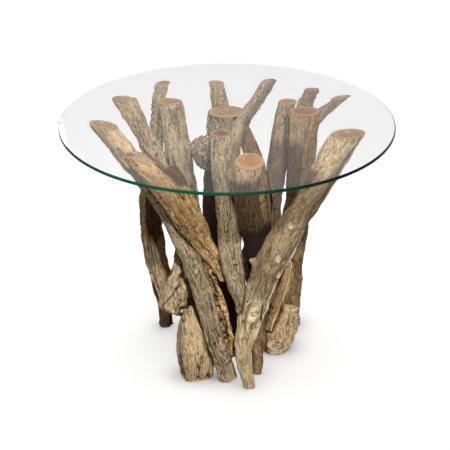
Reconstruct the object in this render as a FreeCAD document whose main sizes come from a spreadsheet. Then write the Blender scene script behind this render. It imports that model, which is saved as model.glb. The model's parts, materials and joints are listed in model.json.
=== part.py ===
"""Driftwood side table: weathered limbs dowelled into a splayed base under a loose round glass top.

Millimetres, +Z up.  The origin is on the floor under the middle of the glass, and the front is -Y.
"""
import FreeCAD, Part
import Sketcher
import itertools
import os

from FreeCAD import Placement, Rotation, Vector

doc = FreeCAD.newDocument("DriftwoodSideTable")
sheet = doc.addObject("Spreadsheet::Sheet", "Sizes")

# The glass, the pads under it, and the wooden fasteners.
TABLE_SIZES = {
    "table_height": 480,
    "glass_diameter": 610,
    "glass_thickness": 6,
    "glass_edge_radius": 2,
    "bumper_diameter": 12,
    "bumper_thickness": 2,
    "dowel_diameter": 8,
    "dowel_length": 36,
    "peg_diameter": 11,
    "peg_length": 26,
    "peg_height": 157,
    "peg_proud": 1,
    "saw_allowance": 20,
    "angled_cut_drop": 10,
    "angled_cut_tilt": 19,
}

# Each limb is surveyed at a few stations, evenly spaced in height from its low end to its high end:
# where its middle stands in plan (x, y), and how thick it is from front to back.  It is broader
# across by one amount all along.  A limb with no low end is sawn off at the floor, and one with no
# high end is sawn level with the others under the glass pads, so those run on past the saw cuts.
# A limb that hangs from its sawn top has its low end that far below the cut.
LIMBS = {
    # Long curved log from the far left of the glass down to the front foot.
    "left_leaning_limb": {
        "broader": 6,
        "stations": [
            (7, -106, 28),
            (-9, -112, 30),
            (-28, -112, 29),
            (-44, -110, 29),
            (-63, -102, 29),
            (-88, -89, 28),
            (-126, -66, 29),
            (-184, -32, 34),
            (-246, 13, 27),
        ],
    },
    # Wedge of a branch in front of the long log, pointed at its lower end.
    "forked_branch": {
        "low": 203,
        "broader": 5,
        "stations": [
            (-6, -87, 5),
            (-33, -90, 30),
            (-64, -100, 44),
            (-90, -114, 44),
            (-133, -130, 32),
            (-174, -144, 22),
        ],
    },
    # Crooked branch at the left rear that swings forward and ends in a knuckle.
    "crooked_branch": {
        "low": 122,
        "broader": 8,
        "stations": [
            (-100, -70, 30),
            (-94, -64, 37),
            (-84, -51, 22),
            (-86, -12, 22),
            (-112, 54, 26),
            (-145, 90, 29),
            (-177, 110, 30),
            (-210, 130, 26),
        ],
    },
    # Thin grey slab at the left rear.
    "rear_left_slab": {
        "broader": 12,
        "stations": [
            (-123, 100, 18),
            (-127, 92, 18),
            (-141, 92, 20),
            (-146, 104, 19),
            (-143, 118, 17),
            (-135, 150, 17),
            (-117, 230, 14),
        ],
    },
    # Flat post between the left limbs and the trunk.
    "left_inner_post": {
        "broader": 13,
        "stations": [
            (-62, 47, 36),
            (-60, 41, 30),
            (-61, 40, 30),
            (-65, 46, 30),
            (-81, 60, 35),
            (-95, 86, 37),
            (-118, 112, 33),
        ],
    },
    # Upright branch at the rear, behind the trunk.
    "rear_upright_branch": {
        "broader": 5,
        "stations": [
            (-16, 112, 28),
            (-14, 110, 28),
            (-10, 107, 27),
            (-4, 106, 26),
            (0, 130, 27),
            (-6, 172, 26),
            (-28, 212, 23),
        ],
    },
    # Long limb that crosses the base from behind the trunk to a thin foot in front.
    "long_cross_limb": {
        "high": 414,
        "broader": 5,
        "stations": [
            (57, -88, 17),
            (57, -83, 19),
            (60, -58, 24),
            (64, -20, 25),
            (68, 24, 26),
            (69, 62, 27),
            (56, 96, 27),
            (27, 140, 22),
        ],
    },
    # Thickest trunk, upright in the middle.
    "centre_trunk": {
        "broader": 14,
        "stations": [
            (-10, 32, 57),
            (-10, 29, 56),
            (-10, 28, 55),
            (-11, 38, 54),
            (-8, 46, 53),
            (2, 63, 55),
        ],
    },
    # Straight limb in front of the trunk, with a rounded tip on the front trunk's shoulder.
    "centre_front_limb": {
        "low": 152,
        "broader": 8,
        "stations": [
            (29, -122, 15),
            (16, -107, 28),
            (6, -92, 34),
            (2, -76, 36),
            (-5, -60, 37),
            (-10, -50, 34),
            (-13, -41, 34),
        ],
    },
    # Stout limb that leans out to the front and is cut square, so its end tilts to the front.
    "front_angled_limb": {
        "low": 163,
        "drop": "angled_cut_drop",
        "broader": 7,
        "stations": [
            (53, -41, 28),
            (53, -69, 30),
            (49, -89, 31),
            (41, -109, 34),
            (34, -132, 39),
            (39, -147, 45),
        ],
    },
    # Slim branch with bark at the rear, leaning to the right.
    "rear_centre_branch": {
        "broader": 5,
        "stations": [
            (-26, 82, 31),
            (-25, 74, 31),
            (-22, 71, 30),
            (-17, 70, 28),
            (-8, 87, 28),
            (5, 119, 26),
            (41, 172, 23),
            (93, 224, 19),
        ],
    },
    # Round post between the trunk and the right post.
    "right_inner_post": {
        "broader": 4,
        "stations": [
            (80, 44, 32),
            (83, 42, 31),
            (84, 46, 31),
            (86, 65, 31),
            (92, 83, 32),
            (102, 98, 32),
            (119, 108, 30),
        ],
    },
    # Broad upright post at the right, down to a splayed foot.
    "right_post": {
        "broader": 13,
        "stations": [
            (131, 95, 22),
            (125, 84, 26),
            (122, 74, 36),
            (123, 68, 43),
            (133, 66, 38),
            (136, 62, 39),
            (140, 60, 45),
            (143, 57, 44),
        ],
    },
    # Rough branch behind the right post.
    "rear_right_branch": {
        "broader": 8,
        "stations": [
            (124, 112, 28),
            (125, 105, 26),
            (126, 101, 25),
            (130, 96, 25),
            (134, 108, 24),
            (141, 144, 21),
            (176, 170, 17),
        ],
    },
    # Short prop that leans out from the back of the right post.
    "right_prop": {
        "hang": 66,
        "broader": 4,
        "stations": [
            (122, 86, 19),
            (161, 99, 20),
            (205, 122, 18),
            (246, 142, 17),
        ],
    },
    # Heavy trunk that sweeps from the right of the glass down to the front foot.
    "front_right_trunk": {
        "broader": 6,
        "stations": [
            (38, -139, 9),
            (36, -142, 17),
            (34, -136, 29),
            (49, -121, 41),
            (67, -109, 46),
            (90, -96, 52),
            (125, -82, 45),
            (158, -66, 43),
            (192, -53, 45),
            (229, -42, 49),
        ],
    },
    # Bowed post at the far left, tucked in under the long log.
    "left_post": {
        "high": 352,
        "broader": 8,
        "stations": [
            (-118, 92, 13),
            (-124, 80, 19),
            (-124, 70, 27),
            (-135, 62, 34),
            (-143, 54, 34),
            (-144, 46, 34),
            (-141, 38, 30),
        ],
    },
    # Ridged block under the knuckle, a front foot.
    "front_left_foot": {
        "high": 139,
        "broader": 9,
        "stations": [
            (-61, -96, 45),
            (-59, -98, 60),
            (-61, -97, 59),
            (-69, -89, 39),
            (-74, -80, 18),
        ],
    },
    # Rounded block at the right, a foot.
    "right_foot": {
        "high": 90,
        "broader": 9,
        "stations": [
            (88, -10, 22),
            (95, 0, 48),
            (102, 8, 63),
            (113, 10, 42),
        ],
    },
    # Splintered slab that has split away from the long log.
    "split_slab": {
        "low": 44,
        "high": 248,
        "broader": 5,
        "stations": [
            (4, -109, 10),
            (-4, -106, 16),
            (-14, -102, 16),
            (-30, -97, 14),
            (-46, -93, 7),
        ],
    },
    # Slim brace from the right foot up to the right post.
    "right_brace": {
        "low": 54,
        "high": 168,
        "broader": 4,
        "stations": [
            (79, -25, 12),
            (95, -9, 15),
            (111, 16, 15),
            (122, 48, 12),
        ],
    },
}

# Side growths that are one piece of wood with their limb: a broken stub and a bark-covered burl.
GROWTHS = {
    "broken_stub": {
        "grows_on": "forked_branch",
        "low": 340,
        "high": 441,
        "broader": 3,
        "stations": [
            (-65, -106, 29),
            (-77, -113, 28),
            (-99, -119, 21),
        ],
    },
    "bark_burl": {
        "grows_on": "centre_trunk",
        "low": 381,
        "high": 431,
        "broader": 8,
        "stations": [
            (-22, 40, 38),
            (-39, 15, 42),
            (-49, 2, 33),
        ],
    },
}

# Where two limbs are dowelled together: the two limbs, and the dowel's height above the floor, or
# above the low end of the second limb where that limb hangs.
JOINTS = {
    "log_and_branch": ("left_leaning_limb", "forked_branch", 300),
    "log_and_foot": ("left_leaning_limb", "front_left_foot", 46),
    "log_and_slab_low": ("left_leaning_limb", "split_slab", 96),
    "log_and_slab_high": ("left_leaning_limb", "split_slab", 185),
    "branch_and_front_limb": ("forked_branch", "centre_front_limb", 250),
    "front_limb_and_trunk": ("centre_front_limb", "front_right_trunk", 178),
    "trunk_and_angled_limb": ("front_right_trunk", "front_angled_limb", 258),
    "angled_and_cross_limb": ("front_angled_limb", "long_cross_limb", 168),
    "cross_limb_and_post": ("long_cross_limb", "right_inner_post", 322),
    "cross_limb_and_rear_branch": ("long_cross_limb", "rear_centre_branch", 388),
    "rear_branches": ("rear_centre_branch", "rear_upright_branch", 150),
    "rear_branch_and_trunk": ("rear_centre_branch", "centre_trunk", 170),
    "trunk_and_inner_post": ("centre_trunk", "left_inner_post", 195),
    "inner_post_and_crook": ("left_inner_post", "crooked_branch", 330),
    "crook_and_left_post": ("crooked_branch", "left_post", 320),
    "left_post_and_slab_low": ("left_post", "rear_left_slab", 70),
    "left_post_and_slab_high": ("left_post", "rear_left_slab", 140),
    "crook_and_foot": ("crooked_branch", "front_left_foot", 128),
    "inner_post_and_right_post": ("right_inner_post", "right_post", 205),
    "inner_post_and_foot": ("right_inner_post", "right_foot", 50),
    "right_post_and_branch_low": ("right_post", "rear_right_branch", 125),
    "right_post_and_branch_high": ("right_post", "rear_right_branch", 262),
    "right_post_and_prop": ("right_post", "right_prop", 10),
    "right_post_and_brace": ("right_post", "right_brace", 164),
    "foot_and_brace": ("right_foot", "right_brace", 74),
}

# Limbs whose sawn tops carry a clear pad under the glass.
PADDED_TOPS = [
    "left_leaning_limb",
    "forked_branch",
    "crooked_branch",
    "rear_upright_branch",
    "centre_trunk",
    "rear_centre_branch",
    "right_prop",
    "front_right_trunk",
]

# The limb with a round peg in its front.
PEGGED_LIMB = "front_right_trunk"

SAWN_LEVEL = "(Sizes.table_height - Sizes.glass_thickness - Sizes.bumper_thickness)"
sheet_rows = itertools.count(1)


def add_size(alias, value):
    """Give the sheet one named number."""
    row = next(sheet_rows)
    sheet.set(f"A{row}", alias)
    sheet.set(f"B{row}", str(value))
    sheet.setAlias(f"B{row}", alias)


def read(alias):
    """The number that the sheet holds under a name."""
    return float(sheet.get(alias))


def fill_sheet():
    for alias, value in TABLE_SIZES.items():
        add_size(alias, value)
    for name, limb in {**LIMBS, **GROWTHS}.items():
        for size in ("low", "high", "hang", "broader"):
            if size in limb:
                add_size(f"{name}_{size}", limb[size])
        for number, (x, y, thick) in enumerate(limb["stations"]):
            add_size(f"{name}_x_{number}", x)
            add_size(f"{name}_y_{number}", y)
            add_size(f"{name}_thick_{number}", thick)
    for joint, (first, second, height) in JOINTS.items():
        add_size(f"{joint}_height", height)
    doc.recompute()


def end_heights(name, limb):
    """The expressions for the heights of a limb's low and high ends, saw allowances included."""
    low = f"Sizes.{name}_low" if "low" in limb else "(-Sizes.saw_allowance)"
    high = f"Sizes.{name}_high" if "high" in limb else f"({SAWN_LEVEL} + Sizes.saw_allowance)"
    if "drop" in limb:
        high = f"({SAWN_LEVEL} - Sizes.{limb['drop']})"
    if "hang" in limb:
        low = f"({SAWN_LEVEL} - Sizes.{name}_hang)"
    return low, high


def sawn_level():
    return read("table_height") - read("glass_thickness") - read("bumper_thickness")


def end_values(name, limb):
    """The same two heights as numbers."""
    low = read(f"{name}_low") if "low" in limb else -read("saw_allowance")
    high = read(f"{name}_high") if "high" in limb else sawn_level() + read("saw_allowance")
    if "drop" in limb:
        high = sawn_level() - read(limb["drop"])
    if "hang" in limb:
        low = sawn_level() - read(f"{name}_hang")
    return low, high


def station_points(name, limb):
    """The middles of a limb's stations."""
    low, high = end_values(name, limb)
    steps = len(limb["stations"]) - 1
    points = []
    for number in range(steps + 1):
        height = low + number / steps * (high - low)
        points.append(Vector(read(f"{name}_x_{number}"), read(f"{name}_y_{number}"), height))
    return points


def station_turn(limb, points, number):
    """How a station's section is turned: square to the limb, apart from the one tilted saw cut."""
    last = len(points) - 1
    if "drop" in limb and number == last:
        return Rotation(Vector(1, 0, 0), read("angled_cut_tilt"))
    along = points[min(number + 1, last)] - points[max(number - 1, 0)]
    across = Vector(0, 1, 0).cross(along)
    return Rotation(across, along.cross(across), along, "ZXY")


def make_blank(name, limb):
    """A limb as it grew: a loft through the oval section at each station."""
    low, high = end_heights(name, limb)
    points = station_points(name, limb)
    steps = len(points) - 1
    sections = []
    for number, point in enumerate(points):
        section = doc.addObject("Part::Ellipse", f"{name}_section_{number}")
        thick = f"Sizes.{name}_thick_{number}"
        section.setExpression("MajorRadius", f"({thick} + Sizes.{name}_broader) / 2")
        section.setExpression("MinorRadius", f"{thick} / 2")
        section.Placement = Placement(point, station_turn(limb, points, number))
        section.setExpression("Placement.Base.x", f"Sizes.{name}_x_{number}")
        section.setExpression("Placement.Base.y", f"Sizes.{name}_y_{number}")
        section.setExpression("Placement.Base.z", f"{low} + {number} / {steps} * ({high} - {low})")
        sections.append(section)
    blank = doc.addObject("Part::Loft", f"{name}_blank")
    blank.Sections = sections
    blank.Solid = True
    blank.Ruled = False
    blank.MaxDegree = 3
    return blank


def make_saw_window():
    """The space between the floor and the saw's level, wider than the glass."""
    window = doc.addObject("Part::Box", "saw_window")
    window.setExpression("Length", "2 * Sizes.glass_diameter")
    window.setExpression("Width", "2 * Sizes.glass_diameter")
    window.setExpression("Height", SAWN_LEVEL)
    window.setExpression("Placement.Base.x", "-Sizes.glass_diameter")
    window.setExpression("Placement.Base.y", "-Sizes.glass_diameter")
    return window


def saw(blank, window):
    """A limb sawn off at the floor and level with the other tops."""
    sawn = doc.addObject("Part::Common", f"{blank.Name}_sawn")
    sawn.Base = blank
    sawn.Tool = window
    return sawn


def limb_at(name, height):
    """A limb's middle at a height, with half its breadth and half its thickness there."""
    limb = LIMBS[name]
    points = station_points(name, limb)
    upper = next(n for n in range(1, len(points)) if points[n].z >= height or n == len(points) - 1)
    lower = upper - 1
    share = (height - points[lower].z) / (points[upper].z - points[lower].z)
    middle = points[lower] + (points[upper] - points[lower]) * share
    thick_below = read(f"{name}_thick_{lower}")
    thick_above = read(f"{name}_thick_{upper}")
    thick = thick_below + (thick_above - thick_below) * share
    return middle, (thick + read(f"{name}_broader")) / 2, thick / 2


def reach(half_broad, half_thick, direction):
    """How far an oval section reaches from its middle in a level direction."""
    return 1 / ((direction.x / half_broad) ** 2 + (direction.y / half_thick) ** 2) ** 0.5


def joint_height(joint, second):
    """A dowel's height above the floor."""
    height = read(f"{joint}_height")
    if "hang" in LIMBS[second]:
        height += end_values(second, LIMBS[second])[0]
    return height


def make_dowel(joint, first, second):
    """A dowel on the line between two limbs' middles, half in each, cut shorter in a thin limb."""
    most_of_limb = 0.7
    height = joint_height(joint, second)
    first_middle, first_broad, first_thick = limb_at(first, height)
    second_middle, second_broad, second_thick = limb_at(second, height)
    line = second_middle - first_middle
    axis = Vector(line).normalize()
    first_reach = reach(first_broad, first_thick, axis)
    second_reach = reach(second_broad, second_thick, axis)
    seam = (first_reach + line.Length - second_reach) / 2
    first_room = most_of_limb * 2 * first_reach
    second_room = most_of_limb * 2 * second_reach
    start = first_middle + axis * (seam - min(read("dowel_length") / 2, first_room))
    dowel = doc.addObject("Part::Cylinder", f"{joint}_dowel")
    dowel.setExpression("Radius", "Sizes.dowel_diameter / 2")
    in_first = f"min(Sizes.dowel_length / 2; {first_room:.2f})"
    in_second = f"min(Sizes.dowel_length / 2; {second_room:.2f})"
    dowel.setExpression("Height", f"{in_first} + {in_second}")
    dowel.Placement = Placement(start, Rotation(Vector(0, 0, 1), axis))
    return dowel


def make_peg():
    """A round peg driven into the front of the front trunk, with its end a little proud."""
    middle, half_broad, half_thick = limb_at(PEGGED_LIMB, read("peg_height"))
    face = middle - Vector(0, half_thick + read("peg_proud"), 0)
    peg = doc.addObject("Part::Cylinder", "shoulder_peg")
    peg.setExpression("Radius", "Sizes.peg_diameter / 2")
    peg.setExpression("Height", "Sizes.peg_length")
    peg.Placement = Placement(face, Rotation(Vector(0, 0, 1), Vector(0, 1, 0)))
    return peg


def cut_away(base, tool):
    cut = doc.addObject("Part::Cut", f"{base.Name}_cut")
    cut.Base = base
    cut.Tool = tool
    cut.Refine = False
    return cut


def gather(name, pieces):
    """One node that holds several like pieces, each a solid of its own."""
    group = doc.addObject("Part::Compound", name)
    group.Links = pieces
    return group


def make_bumper(name):
    """A clear pad on the middle of a limb's sawn top."""
    bumper = doc.addObject("Part::Cylinder", f"{name}_bumper")
    bumper.setExpression("Radius", "Sizes.bumper_diameter / 2")
    bumper.setExpression("Height", "Sizes.bumper_thickness")
    bumper.Placement = Placement(limb_at(name, sawn_level())[0], Rotation())
    bumper.setExpression("Placement.Base.z", SAWN_LEVEL)
    return bumper


def make_glass():
    """The loose round top: a disc of plate glass with its two edges eased."""
    body = doc.addObject("PartDesign::Body", "glass_top")
    level = next(plane for plane in body.Origin.OriginFeatures if plane.Role == "XY_Plane")
    outline = body.newObject("Sketcher::SketchObject", "glass_outline")
    outline.AttachmentSupport = [(level, "")]
    outline.MapMode = "FlatFace"
    outline.addGeometry(Part.Circle(Vector(), Vector(0, 0, 1), read("glass_diameter") / 2))
    outline.addConstraint(Sketcher.Constraint("Coincident", 0, 3, -1, 1))
    diameter = outline.addConstraint(Sketcher.Constraint("Diameter", 0, read("glass_diameter")))
    outline.setExpression(f"Constraints[{diameter}]", "Sizes.glass_diameter")
    disc = body.newObject("PartDesign::Pad", "glass_disc")
    disc.Profile = outline
    disc.setExpression("Length", "Sizes.glass_thickness")
    doc.recompute()
    rims = [f"Edge{n}" for n, edge in enumerate(disc.Shape.Edges, 1) if edge.isClosed()]
    eased = body.newObject("PartDesign::Fillet", "eased_edges")
    eased.Base = (disc, rims)
    eased.setExpression("Radius", "Sizes.glass_edge_radius")
    body.setExpression("Placement.Base.z", "Sizes.table_height - Sizes.glass_thickness")
    return body


def limbs_meet(first, second):
    """Whether two limbs come close enough anywhere to be coped to each other."""
    close, step = 6, 10
    first_low, first_high = end_values(first, LIMBS[first])
    second_low, second_high = end_values(second, LIMBS[second])
    height = max(first_low, second_low)
    while height <= min(first_high, second_high):
        first_middle, first_broad, first_thick = limb_at(first, height)
        second_middle, second_broad, second_thick = limb_at(second, height)
        line = second_middle - first_middle
        axis = Vector(line).normalize()
        both_reaches = reach(first_broad, first_thick, axis) + reach(second_broad, second_thick, axis)
        if line.Length < both_reaches + close:
            return True
        height += step
    return False


def build_base():
    """Every wooden piece: sawn, bored for its dowels, and coped to the limbs before it in the list."""
    window = make_saw_window()
    blanks = {name: make_blank(name, limb) for name, limb in LIMBS.items()}
    for name, growth in GROWTHS.items():
        whole = doc.addObject("Part::Fuse", f"{name}_and_limb")
        whole.Base = blanks[growth["grows_on"]]
        whole.Tool = make_blank(name, growth)
        blanks[growth["grows_on"]] = whole
    dowels = {joint: make_dowel(joint, *pair[:2]) for joint, pair in JOINTS.items()}
    peg = make_peg()
    doc.recompute()
    nodes = {}
    for name, blank in blanks.items():
        tools = [dowels[joint] for joint, pair in JOINTS.items() if name in pair]
        tools += [peg] if name == PEGGED_LIMB else []
        tools += [blanks[earlier] for earlier in nodes if limbs_meet(name, earlier)]
        nodes[name] = saw(blank, window)
        for tool in tools:
            nodes[name] = cut_away(nodes[name], tool)
    nodes["shoulder_peg"] = peg
    nodes["joint_dowels"] = gather("joint_dowels", list(dowels.values()))
    return nodes


def check_all(nodes):
    doc.recompute()
    failed = [item.Name for item in doc.Objects if {"Invalid", "Error"} & set(item.State)]
    if failed:
        raise RuntimeError(f"failed features: {failed}")
    for name, piece in nodes.items():
        if piece.Shape.isNull() or not piece.Shape.isValid():
            raise RuntimeError(f"{name} has no sound shape")
        if name in LIMBS and len(piece.Shape.Solids) != 1:
            raise RuntimeError(f"{name} is in {len(piece.Shape.Solids)} pieces")


def export_all(nodes):
    os.makedirs("parts", exist_ok=True)
    for name, piece in nodes.items():
        piece.Label = name
        piece.Shape.exportStep(f"parts/{name}.step")


fill_sheet()
table = build_base()
table["glass_bumpers"] = gather("glass_bumpers", [make_bumper(name) for name in PADDED_TOPS])
table["glass_top"] = make_glass()
check_all(table)
export_all(table)
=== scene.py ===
import json
import math

import bmesh
import bpy
import numpy as np
from mathutils.bvhtree import BVHTree
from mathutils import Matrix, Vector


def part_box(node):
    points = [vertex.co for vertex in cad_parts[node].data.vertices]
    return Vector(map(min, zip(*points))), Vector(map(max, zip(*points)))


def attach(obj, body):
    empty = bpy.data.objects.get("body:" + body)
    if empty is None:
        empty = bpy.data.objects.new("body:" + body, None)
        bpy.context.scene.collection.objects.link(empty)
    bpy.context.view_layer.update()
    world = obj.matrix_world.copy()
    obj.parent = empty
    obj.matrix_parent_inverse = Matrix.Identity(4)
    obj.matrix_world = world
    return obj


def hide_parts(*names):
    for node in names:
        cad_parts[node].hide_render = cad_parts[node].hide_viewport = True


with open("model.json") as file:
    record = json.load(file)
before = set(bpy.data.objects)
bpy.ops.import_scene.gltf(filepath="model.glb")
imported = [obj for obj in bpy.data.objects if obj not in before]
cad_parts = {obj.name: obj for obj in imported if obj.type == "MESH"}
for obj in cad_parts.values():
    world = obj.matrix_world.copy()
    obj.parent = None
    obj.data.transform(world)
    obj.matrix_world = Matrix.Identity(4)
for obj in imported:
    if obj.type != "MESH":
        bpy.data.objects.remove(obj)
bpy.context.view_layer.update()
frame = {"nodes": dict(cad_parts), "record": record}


# The long log at the left: a peeled branch that leans from the far left of the glass to a front foot.
# The sea has worn it smooth and grey, its upper end was axed flat on top, and its ends are sawn.
# It is dowelled to the branch in front of it, to the slab that split from it and to the left foot.

mm = 0.001
mesh_step = 1.35 * mm
up = (0.0, 0.0, 1.0)
limb_seeds = iter(range(1, 100))


def linear(code):
    """An sRGB hex colour as linear red, green, blue and alpha."""
    shares = [int(code[at:at + 2], 16) / 255 for at in (1, 3, 5)]
    return [s / 12.92 if s <= 0.04045 else ((s + 0.055) / 1.055) ** 2.4 for s in shares] + [1.0]


def add(tree, kind, inputs=(), **settings):
    """Add a node with its settings, and feed its inputs with values, nodes or nodes' outputs."""
    node = tree.nodes.new(kind)
    for name, value in settings.items():
        setattr(node, name, value)
    for key, value in dict(inputs).items():
        named = [socket for socket in node.inputs if socket.enabled and socket.name == key]
        socket = named[0] if named else node.inputs[key]
        if isinstance(value, bpy.types.Node):
            value = next(output for output in value.outputs if output.enabled)
        if isinstance(value, bpy.types.NodeSocket):
            tree.links.new(value, socket)
        else:
            socket.default_value = value
    return node


def painted(tree, ground, layers):
    """A ground colour with tones laid over it, one after the other.

    Each layer is (pattern, start, stop, most, tone): the tone comes in as the pattern goes from start
    to stop, up to its most.
    """
    for pattern, start, stop, most, tone in layers:
        span = {"Value": pattern, "From Min": start, "From Max": stop, "To Max": most}
        share = add(tree, "ShaderNodeMapRange", span, interpolation_type="SMOOTHSTEP")
        ground = add(tree, "ShaderNodeMix", {"Factor": share, "A": ground, "B": tone}, data_type="RGBA")
    return ground


def driftwood(name, pale, mid, grey, dark):
    """Bare wood that salt water has leached: bleached ridges, partly painted highlight, grey flanks and
    dark, dirty grain lines.

    Bark, axed faces, knots, sawn ends, painted shade and painted light come from the limb's attributes.
    Real fibres are finer than a tenth of a millimetre, so the streaks are drawn as coarse as they need to
    show.
    """
    wood = bpy.data.materials.new(name)
    wood.use_nodes = True
    tree = wood.node_tree
    tree.nodes.clear()
    pale, mid, grey, dark, near_black = [linear(tone) for tone in (pale, mid, grey, dark, "#1c120a")]
    marks = ("sawn", "core", "ruddy_and_lit", "bare", "bark", "knot", "crevice_shade", "proud", "wear_and_highlight", "stain_and_shade")
    mark = {key: add(tree, "ShaderNodeAttribute", attribute_name=key).outputs["Fac"] for key in marks}
    grain = add(tree, "ShaderNodeAttribute", attribute_name="grain").outputs["Vector"]
    sideways = add(tree, "ShaderNodeTexNoise", {"Vector": grain, "Scale": 1 / (45 * mm), "Detail": 1.0})
    wander = {0: sideways.outputs["Color"], 1: (16 * mm, 16 * mm, 0), 2: grain}
    wander = add(tree, "ShaderNodeVectorMath", wander, operation="MULTIPLY_ADD")
    patterns = {
        "patches": (0.25, 45, 2, 0.5),
        "stains_and_shade": (0.35, 24, 3, 0.6),
        "streaks": (0.14, 3.0, 5, 0.75),
        "fibres": (0.09, 2.0, 4, 0.7),
        "checks": (0.06, 10, 2, 0.5),
        "flecks": (0.4, 3.6, 4, 0.75),
        "specks": (1.0, 3.2, 2, 0.5),
        "pepper": (0.45, 2.4, 3, 0.7),
    }
    tone = {}
    for key, (stretch, size, detail, roughness) in patterns.items():
        drawn = add(tree, "ShaderNodeVectorMath", {0: wander, 1: (1, 1, stretch)}, operation="MULTIPLY")
        sizes = {"Vector": drawn, "Scale": 1 / (size * mm), "Detail": detail, "Roughness": roughness}
        tone[key] = add(tree, "ShaderNodeTexNoise", sizes).outputs[0]
    lines = add(tree, "ShaderNodeMath", {0: tone["checks"], 1: 0.5}, operation="PINGPONG")

    colour = painted(tree, mid, [
        (tone["patches"], 0.38, 0.62, 0.9, grey),
        (tone["stains_and_shade"], 0.45, 0.30, 0.35, dark),
        (tone["stains_and_shade"], 0.55, 0.70, 0.40, pale),
        (tone["streaks"], 0.51, 0.60, 0.42, pale),
        (tone["streaks"], 0.48, 0.39, 0.45, dark),
        (tone["fibres"], 0.48, 0.41, 0.38, dark),
        # Raised wood is paler, partly as wear and partly as a painted highlight.
        (mark["proud"], 0.15, 0.9, 0.30, pale),
        (tone["pepper"], 0.54, 0.61, 0.46, pale),
        (tone["pepper"], 0.45, 0.38, 0.50, near_black),
        (lines, 0.470, 0.497, 0.65, near_black),
        (tone["flecks"], 0.54, 0.62, 0.55, pale),
        (tone["flecks"], 0.43, 0.35, 0.55, near_black),
    ])
    # The tone of axed and peeled wood, which is also laid as painted light on faces that catch the lamp.
    bare_and_lit_tone = painted(tree, linear("#c4a67b"), [
        (tone["streaks"], 0.48, 0.64, 0.9, linear("#e6d4b6")),
        (tone["streaks"], 0.46, 0.34, 0.7, linear("#8d6a44")),
        (lines, 0.470, 0.495, 0.6, linear("#7a5330")),
    ])
    cell = {"Vector": grain, "Scale": 1 / (6.5 * mm), "Randomness": 1.0}
    plates = add(tree, "ShaderNodeTexVoronoi", cell, feature="DISTANCE_TO_EDGE").outputs["Distance"]
    bark = painted(tree, linear("#8a7a64"), [
        (tone["flecks"], 0.42, 0.60, 0.9, linear("#b3a286")),
        (tone["stains_and_shade"], 0.45, 0.30, 0.7, linear("#54452f")),
        (plates, 0.13, 0.02, 0.75, near_black),
        (tone["specks"], 0.58, 0.66, 0.9, linear("#ded3bb")),
    ])

    flat_grain = add(tree, "ShaderNodeVectorMath", {0: grain, 1: (1, 1, 0)}, operation="MULTIPLY")
    from_pith = add(tree, "ShaderNodeVectorMath", {0: flat_grain}, operation="LENGTH").outputs["Value"]
    wavy = {0: tone["stains_and_shade"], 1: 9 * mm, 2: from_pith}
    wavy = add(tree, "ShaderNodeMath", wavy, operation="MULTIPLY_ADD")
    ring_width = 2.8 * mm
    turns = add(tree, "ShaderNodeMath", {0: wavy, 1: 2 * math.pi / ring_width}, operation="MULTIPLY")
    rings = add(tree, "ShaderNodeMath", {0: turns}, operation="SINE")
    end = painted(tree, linear("#a5835a"), [
        (mark["ruddy_and_lit"], 0.0, 1.0, 1.0, linear("#935f3b")),
        # Past 1 the end turns a bright orange, painted light on an end that catches the lamp.
        (mark["ruddy_and_lit"], 1.0, 2.0, 0.8, linear("#d19a62")),
        (mark["core"], 0.5, 0.1, 0.40, linear("#7d5330")),
        (rings, -0.2, 1.0, 0.50, linear("#6f4b2c")),
        (tone["stains_and_shade"], 0.5, 0.35, 0.4, linear("#5d3f28")),
        (tone["specks"], 0.56, 0.70, 0.35, linear("#b08d5f")),
        (mark["core"], 0.66, 0.82, 0.70, linear("#b89a6e")),
        (mark["core"], 0.93, 1.0, 0.75, linear("#58432b")),
    ])
    colour = painted(tree, colour, [
        (mark["bare"], 0.0, 1.0, 1.0, bare_and_lit_tone),
        (mark["bark"], 0.3, 0.7, 1.0, bark),
        # The stain mark lays real stains and painted shade on limbs that lie in shadow; at its strongest
        # it goes near black, as painted shade in deep gaps.
        (mark["stain_and_shade"], 0.0, 1.0, 1.0, dark),
        (mark["stain_and_shade"], 0.80, 1.0, 0.7, near_black),
        # Pale wear on crests and spurs, partly a painted highlight.
        (mark["wear_and_highlight"], 0.15, 0.75, 0.95, linear("#eadcbd")),
        (mark["knot"], 0.04, 0.25, 0.45, pale),
        (mark["knot"], 0.45, 1.0, 0.85, linear("#3a2413")),
        # Painted shade in furrows, cracks and pits.
        (mark["crevice_shade"], 0.15, 0.9, 0.92, near_black),
        (mark["sawn"], 0.3, 0.7, 1.0, end),
    ])

    relief = 0.0
    weights = ((tone["streaks"], 0.7), (tone["pepper"], 0.4), (tone["flecks"], 0.6), (lines, -0.9))
    for pattern, weight in weights:
        relief = add(tree, "ShaderNodeMath", {0: pattern, 1: weight, 2: relief}, operation="MULTIPLY_ADD")
    bumps = add(tree, "ShaderNodeBump", {"Strength": 1.0, "Distance": 4.2 * mm, "Height": relief})
    rough = {"Value": tone["streaks"], "From Min": 0.3, "From Max": 0.7, "To Min": 0.95, "To Max": 0.75}
    rough = add(tree, "ShaderNodeMapRange", rough)
    shade = {"Base Color": colour, "Roughness": rough, "Normal": bumps, "Specular IOR Level": 0.2}
    surface = add(tree, "ShaderNodeBsdfPrincipled", shade)
    add(tree, "ShaderNodeOutputMaterial", {"Surface": surface})
    return wood


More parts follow.
